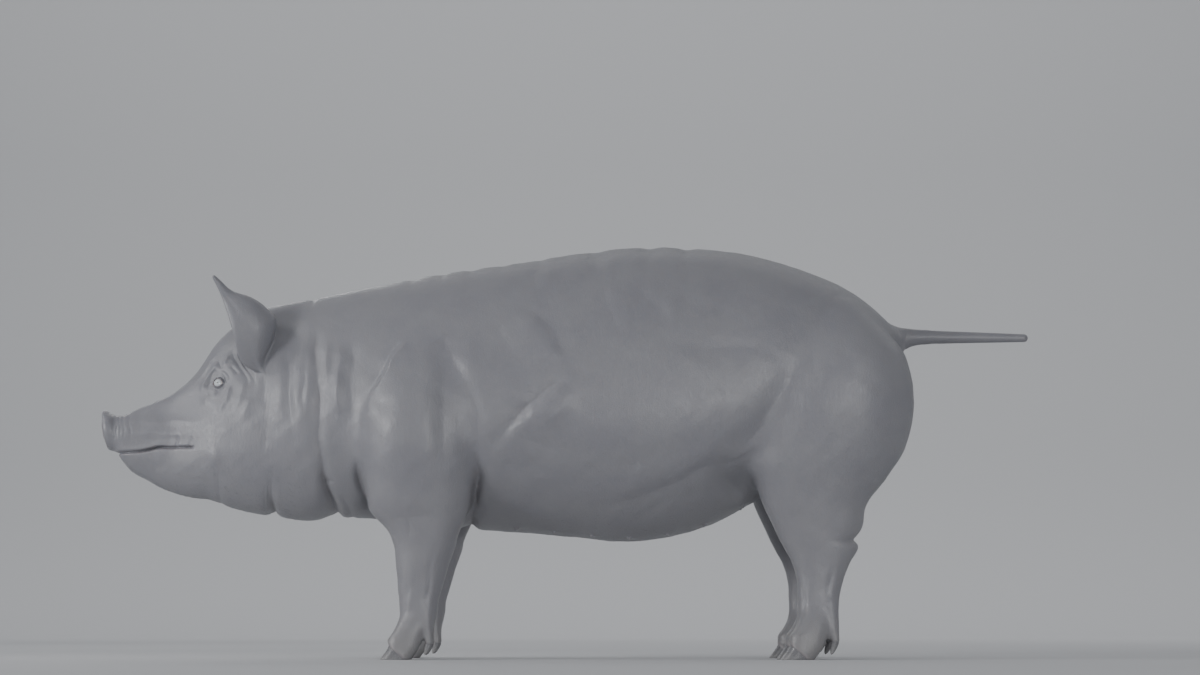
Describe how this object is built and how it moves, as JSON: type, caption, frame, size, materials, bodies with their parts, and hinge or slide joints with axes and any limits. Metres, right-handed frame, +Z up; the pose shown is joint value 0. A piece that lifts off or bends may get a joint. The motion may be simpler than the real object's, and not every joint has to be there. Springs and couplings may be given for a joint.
{
  "type": "standing pig",
  "caption": "Life-size still model of a large pig standing square, slate grey and nearly hairless, ears pricked and tail held straight back.",
  "frame": {"origin": "middle of the box's bottom face, on the floor between the four feet", "axes": "+Z up, -X towards the snout, -Y towards the pig's left side"},
  "size_m": [1.9546, 0.4845, 0.8632],
  "materials": {
    "skin": "bare pig skin, slate grey, satin, finely creased",
    "horn": "hoof horn, dark, satin with worn edges",
    "eye": "wet brown eye, glossy",
    "bristle": "short stiff bristles, dark grey brown"
  },
  "bodies": {
    "root": {"trunk": "skin", "neck": "skin", "head": "skin", "jaw": "skin", "snout": "skin", "tail": "skin", "ear_left": "skin", "ear_right": "skin", "foreleg_left": "skin", "foreleg_right": "skin", "hindleg_left": "skin", "hindleg_right": "skin", "eye_left": "eye", "eye_right": "eye", "hoof_fore_left_inner": "horn", "hoof_fore_left_outer": "horn", "hoof_fore_right_inner": "horn", "hoof_fore_right_outer": "horn", "hoof_hind_left_inner": "horn", "hoof_hind_left_outer": "horn", "hoof_hind_right_inner": "horn", "hoof_hind_right_outer": "horn"}
  },
  "joints": []
}
